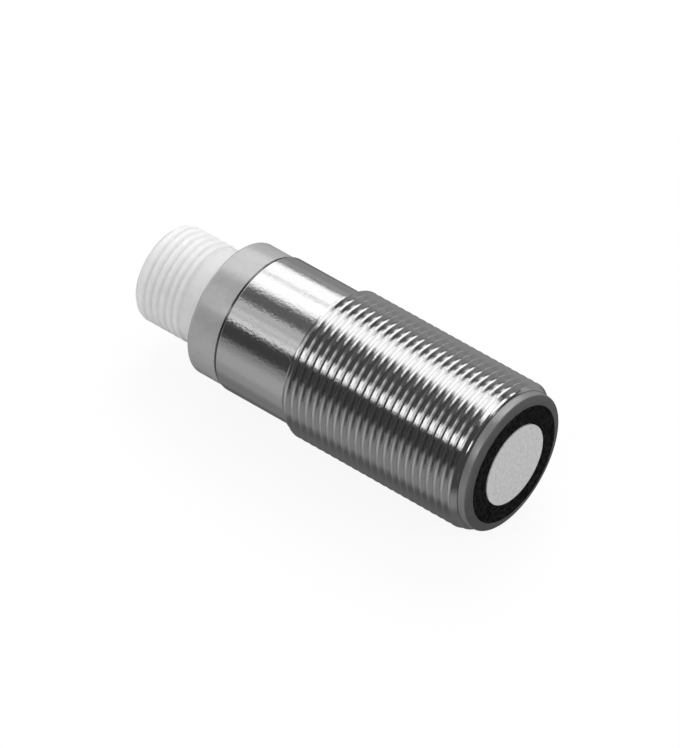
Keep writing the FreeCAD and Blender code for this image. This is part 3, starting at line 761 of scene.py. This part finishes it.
# %% Mix the finishes inside
ceramic = finish("fired_ceramic", dark=(0.55, 0.50, 0.40, 1), light=(0.66, 0.62, 0.52, 1),
                 grain=0.3 * MM, contrast=1.2, relief=0.004 * MM, rough=(0.45, 0.6))
damping = finish("backing_rubber", dark=grey(0.03), light=grey(0.06),
                 grain=0.4 * MM, contrast=1.4, relief=0.01 * MM, rough=(0.6, 0.8))
lead_red = finish("red_insulation", dark=(0.30, 0.015, 0.012, 1), light=(0.42, 0.03, 0.02, 1),
                  grain=0.5 * MM, contrast=1.0, relief=0.002 * MM, rough=(0.3, 0.45))
gold = finish("gold_plating", dark=(0.78, 0.56, 0.22, 1), light=(0.88, 0.68, 0.32, 1),
              grain=0.3 * MM, contrast=1.0, relief=0.001 * MM, rough=(0.14, 0.24), Metallic=1.0)
laminate = finish("green_laminate", dark=(0.01, 0.10, 0.04, 1), light=(0.02, 0.16, 0.07, 1),
                  grain=0.35 * MM, contrast=1.4, relief=0.003 * MM, rough=(0.25, 0.4))
lens = finish("clear_lens", dark=(0.74, 0.71, 0.58, 1), light=(0.84, 0.82, 0.72, 1),
              grain=0.4 * MM, contrast=1.0, relief=0.001 * MM, rough=(0.08, 0.15),
              Transmission_Weight=0.5)
film = finish("amber_film", dark=(0.42, 0.18, 0.03, 1), light=(0.58, 0.28, 0.06, 1),
              grain=0.4 * MM, contrast=1.0, relief=0.001 * MM, rough=(0.15, 0.3))
ferrite = finish("ground_ferrite", dark=grey(0.035), light=grey(0.07),
                 grain=0.25 * MM, contrast=1.5, relief=0.006 * MM, rough=(0.4, 0.6))
copper = finish("wound_copper", dark=(0.55, 0.20, 0.08, 1), light=(0.75, 0.34, 0.16, 1),
                grain=0.2 * MM, contrast=1.2, relief=0.01 * MM, rough=(0.2, 0.35), Metallic=1.0)
chip_black = finish("black_epoxy", dark=grey(0.014), light=grey(0.03),
                    grain=0.15 * MM, contrast=1.4, relief=0.004 * MM, rough=(0.45, 0.65))
capacitor = finish("amber_epoxy", dark=(0.46, 0.30, 0.08, 1), light=(0.60, 0.42, 0.14, 1),
                   grain=0.3 * MM, contrast=1.0, relief=0.003 * MM, rough=(0.35, 0.5))
resin = finish("cast_resin", dark=grey(0.02), light=grey(0.04),
               grain=0.8 * MM, contrast=1.0, relief=0.006 * MM, rough=(0.2, 0.4))
inner = [ceramic, damping, lead_red, gold, laminate, lens, film, ferrite, copper, chip_black,
         capacitor, resin]
print("finishes inside:", [material.name for material in inner])

# %% [markdown]
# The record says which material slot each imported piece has, so the finishes can be handed out by
# slot, and a piece that is added later gets its finish too. The two skins cut above get theirs by
# hand.

# %% Hand out the finishes
FINISH_OF_SLOT = {
    "bubble_resin": bubble_resin,
    "piezo_ceramic": ceramic,
    "damping_rubber": damping,
    "black_foam": black_foam,
    "lead_insulation": lead_red,
    "grey_plastic": collar_grey,
    "nickel_plated_brass": nickel,
    "translucent_grey_plastic": shoulder_grey,
    "milky_plastic": milky_white,
    "gold_plated_brass": gold,
    "board_laminate": laminate,
    "indicator_lens": lens,
    "strip_film": film,
    "ferrite": ferrite,
    "copper_winding": copper,
    "chip_moulding": chip_black,
    "capacitor_moulding": capacitor,
    "casting_resin": resin,
}


def dress(piece, material):
    """Give a piece one finish all over."""
    piece.data.materials.clear()
    piece.data.materials.append(material)


for part in frame["record"]["subparts"]:
    dress(frame["nodes"][part["node"]], FINISH_OF_SLOT[part["material_slot"]])
dress(barrel, nickel)
dress(connector, milky_white)

# %% [markdown]
# ## The studio
#
# Bright metal shows its surroundings and little else. The photograph has straight bands along the
# barrel: a broad white one above, two dark ones, a lighter one between them and a grey one below. A
# long pipe of paper round the sensor gives them, lighter and darker by its angle about the X axis.
# Lamps alone would leave the metal black between their own reflections.
#
# The barrel looks at different lengths of the pipe, so the panels are given for four of them. The
# smooth shank mirrors the rear one. In the thread, light that bounces from flank to flank comes from
# the middle one. The chamfer looks at the front one, which is dark, and the flanks that face forward
# look past it at the far one.

# %% List the panels of the light tent
# A panel is (start, end, brightness), by the angle in degrees from the horizon on the camera's side,
# over the top, to the far side.
REAR_PANELS = [
    (-180, -152, 0.28), (-148, -100, 0.12), (-96, -70, 0.20), (-62, -48, 0.32), (-40, -18, 0.42),
    (-10, -4, 0.28), (4, 30, 0.055), (33, 39, 0.90), (41, 45, 0.50), (47, 52, 0.75),
    (54, 58, 0.45), (60, 66, 0.60), (70, 92, 0.13), (102, 126, 1.4), (127, 129, 0.50),
    (130, 160, 1.35), (163, 168, 0.20), (171, 175, 0.45), (177, 180, 0.28),
]
MIDDLE_PANELS = [
    (-180, -155, 0.30), (-148, -100, 0.12), (-96, -70, 0.14), (-62, -50, 0.22), (-42, -30, 0.29),
    (-26, -16, 0.33), (-12, -4, 0.29), (3, 33, 0.04), (35, 47, 1.9), (51, 95, 0.09),
    (101, 130, 1.6), (133, 140, 0.12), (143, 147, 1.6), (150, 164, 0.05), (168, 180, 0.44),
]
FRONT_PANELS = [
    (-180, -155, 0.16), (-148, -100, 0.08), (-96, -74, 0.08), (-68, -50, 0.25), (-40, 160, 0.06),
    (164, 180, 0.22),
]
FAR_PANELS = [
    (-180, -100, 0.10), (-96, -50, 0.30), (-40, 114, 0.06), (120, 160, 1.35), (163, 180, 0.22),
]
TENT_LENGTHS = [REAR_PANELS, MIDDLE_PANELS, FRONT_PANELS, FAR_PANELS]
BLENDS = [(-0.235, -0.165), (0.15, 0.35), (0.58, 0.70)]
print("panels in each length of the tent:", [len(panels) for panels in TENT_LENGTHS])

# %% [markdown]
# A Float Curve node turns an angle into a brightness. Each panel gives it two points of the same
# height, a little inside the panel's ends, and straight handles join them, so neighbouring panels
# meet in a short slope, like paper that is lit a little unevenly. Where one length of the tent ends,
# it blends into the next.

# %% Brightness round the tent and along it
PANEL_EDGE = 1.0


def panel_curve(tree, share, panels):
    """Brightness by the share of a full turn, with a short slope between neighbouring panels."""
    bands = tree.nodes.new("ShaderNodeFloatCurve")
    bands.mapping.use_clip = False
    curve = bands.mapping.curves[0]
    curve.points[0].location = (0, panels[0][2])
    curve.points[-1].location = (1, panels[-1][2])
    for start, end, brightness in panels:
        inset = min(PANEL_EDGE, (end - start) / 3)
        for degrees in (start + inset, end - inset):
            curve.points.new((degrees + 180) / 360, brightness)
    for point in curve.points:
        point.handle_type = "VECTOR"
    bands.mapping.update()
    tree.links.new(share, bands.inputs["Value"])
    return bands.outputs["Value"]


def blend_along(tree, place, limits, before, after):
    """One brightness before the first limit and another after the second, blended between."""
    share = tree.nodes.new("ShaderNodeMapRange")
    share.inputs["From Min"].default_value = limits[0]
    share.inputs["From Max"].default_value = limits[1]
    tree.links.new(place, share.inputs["Value"])
    mix = tree.nodes.new("ShaderNodeMix")
    tree.links.new(share.outputs["Result"], mix.inputs["Factor"])
    tree.links.new(before, mix.inputs["A"])
    tree.links.new(after, mix.inputs["B"])
    return mix.outputs["Result"]


def tent_paper():
    """Paper that is brighter or darker by its angle about the X axis and its place along it."""
    paper = bpy.data.materials.new("tent_paper")
    paper.use_nodes = True
    tree = paper.node_tree
    tree.nodes.clear()
    place = tree.nodes.new("ShaderNodeTexCoord")
    split = tree.nodes.new("ShaderNodeSeparateXYZ")
    tree.links.new(place.outputs["Object"], split.inputs[0])
    towards_camera = math_node(tree, "MULTIPLY", split.outputs["Y"], -1.0)
    angle = math_node(tree, "ARCTAN2", split.outputs["Z"], towards_camera)
    share = math_node(tree, "ADD", math_node(tree, "DIVIDE", angle, 2 * math.pi), 0.5)
    level, *others = [panel_curve(tree, share, panels) for panels in TENT_LENGTHS]
    for limits, brightness in zip(BLENDS, others):
        level = blend_along(tree, split.outputs["X"], limits, level, brightness)
    glow = tree.nodes.new("ShaderNodeEmission")
    tree.links.new(level, glow.inputs["Strength"])
    out = tree.nodes.new("ShaderNodeOutputMaterial")
    tree.links.new(glow.outputs[0], out.inputs["Surface"])
    return paper


paper_of_tent = tent_paper()
print("nodes in the tent's paper:", len(paper_of_tent.node_tree.nodes))

# %% [markdown]
# The paper goes on a closed pipe that lies along the X axis. Only reflections see it: the camera
# looks through it, and it neither lights nor shades anything, so the bands can be changed without
# changing the light on the plastic.

# %% Put up the light tent
TENT_RADIUS = 0.5
TENT_HALF_LENGTH = 1.6
TENT_SIDES = 96


def only_in_reflections(thing):
    """Show a stage object in reflections and nowhere else."""
    thing.visible_camera = False
    thing.visible_diffuse = False
    thing.visible_shadow = False
    thing.visible_transmission = False
    thing.visible_volume_scatter = False


tent_mesh = bpy.data.meshes.new("light_tent")
tent_work = bmesh.new()
bmesh.ops.create_cone(tent_work, cap_ends=True, segments=TENT_SIDES, radius1=TENT_RADIUS,
                      radius2=TENT_RADIUS, depth=2 * TENT_HALF_LENGTH)
bmesh.ops.rotate(tent_work, verts=tent_work.verts,
                 matrix=Matrix.Rotation(math.pi / 2, 3, "Y"))
tent_work.to_mesh(tent_mesh)
tent_work.free()
tent_mesh.materials.append(paper_of_tent)
tent = bpy.data.objects.new("light_tent", tent_mesh)
bpy.context.scene.collection.objects.link(tent)
only_in_reflections(tent)
print("tent length and width in m:", 2 * TENT_HALF_LENGTH, 2 * TENT_RADIUS)

# %% [markdown]
# The floor is pale paper. What the camera sees of it is mostly plain white, as in the photograph,
# with enough of the real paper mixed in to keep a faint shadow under the sensor. The Light Path node
# tells who is looking: the camera, a reflection and a look through clear plastic meet the white,
# and light on its way to the sensor meets the plain paper. A shadow catcher would need compositing,
# and brighter lamps would burn out the sensor along with the floor.

# %% Lay the floor
FLOOR_SIZE = 6.0
FLOOR_GREY = 0.62
FLOOR_ROUGHNESS = 0.9
FLOOR_WHITE_SHARE = 0.87
FLOOR_WHITE_LEVEL = 1.04


def seen_plainly(tree):
    """1 for the camera, a reflection or a look through clear plastic, and 0 for lighting."""
    path = tree.nodes.new("ShaderNodeLightPath")
    seen = math_node(tree, "MAXIMUM", path.outputs["Is Camera Ray"], path.outputs["Is Glossy Ray"])
    return math_node(tree, "MAXIMUM", seen, path.outputs["Is Transmission Ray"])


def floor_paper():
    """Pale paper that the camera sees as almost plain white."""
    paper = bpy.data.materials.new("floor_paper")
    paper.use_nodes = True
    tree = paper.node_tree
    shader = tree.nodes["Principled BSDF"]
    shader.inputs["Roughness"].default_value = FLOOR_ROUGHNESS
    shader.inputs["Base Color"].default_value = grey(FLOOR_GREY)
    white = tree.nodes.new("ShaderNodeEmission")
    white.inputs["Strength"].default_value = FLOOR_WHITE_LEVEL
    white_share = math_node(tree, "MULTIPLY", seen_plainly(tree), FLOOR_WHITE_SHARE)
    mix = tree.nodes.new("ShaderNodeMixShader")
    tree.links.new(white_share, mix.inputs[0])
    tree.links.new(shader.outputs[0], mix.inputs[1])
    tree.links.new(white.outputs[0], mix.inputs[2])
    tree.links.new(mix.outputs[0], tree.nodes["Material Output"].inputs["Surface"])
    return paper


floor_mesh = bpy.data.meshes.new("floor")
half = FLOOR_SIZE / 2
floor_level = cad_box[0].z
floor_mesh.from_pydata([(-half, -half, floor_level), (half, -half, floor_level),
                        (half, half, floor_level), (-half, half, floor_level)], [], [(0, 1, 2, 3)])
floor = bpy.data.objects.new("floor", floor_mesh)
floor.data.materials.append(floor_paper())
floor.visible_glossy = False
bpy.context.scene.collection.objects.link(floor)
print("floor at mm:", round(floor_level / MM, 2))

# %% [markdown]
# Three soft lamps light the matt pieces. The main one hangs behind and above the sensor, where the
# white band on the barrel comes from. A weak one on the camera's side opens the shadows, and one in
# front lights the disc. Reflections come from the tent, so the lamps don't show in the metal.

# %% Hang the lamps
def soft_lamp(name, place, size, watts):
    """A square area lamp that faces the middle of the sensor."""
    data = bpy.data.lights.new(name, "AREA")
    data.shape = "SQUARE"
    data.size = size
    data.energy = watts
    lamp = bpy.data.objects.new(name, data)
    lamp.location = place
    lamp.rotation_mode = "QUATERNION"
    lamp.rotation_quaternion = (AIM - Vector(place)).to_track_quat("-Z", "Y")
    lamp.visible_glossy = False
    bpy.context.scene.collection.objects.link(lamp)


soft_lamp("lamp_above", place=(-0.15, 0.30, 0.42), size=0.40, watts=2.15)
soft_lamp("lamp_side", place=(-0.10, -0.55, 0.30), size=0.45, watts=1.3)
soft_lamp("lamp_front", place=(0.60, 0.10, 0.25), size=0.35, watts=2.0)
print("lamps:", sorted(light.name for light in bpy.data.lights))

# %% [markdown]
# The world is a plain sky that fills the shadows at half strength. Wherever the camera, a reflection
# or a look through clear plastic reaches it, it is pure white instead, so the background is as white
# as in the photograph, without any more light on the sensor.

# %% Fill in with the sky
SKY_FILL = 0.50
world = bpy.data.worlds.new("sky")
bpy.context.scene.world = world
world.use_nodes = True
sky = world.node_tree
level = math_node(sky, "MULTIPLY", seen_plainly(sky), 1 - SKY_FILL)
level = math_node(sky, "ADD", level, SKY_FILL)
sky.nodes["Background"].inputs["Color"].default_value = (1, 1, 1, 1)
sky.links.new(level, sky.nodes["Background"].inputs["Strength"])
print("sky fill:", SKY_FILL)

# %% [markdown]
# ## The box at the end
#
# The box of the construction is printed once more. The dressed sensor must stay inside the box of
# its construction.

# %% Print the box of the construction
bpy.context.view_layer.update()
print("box of the construction in mm:", [[round(c / MM, 2) for c in corner] for corner in cad_box])
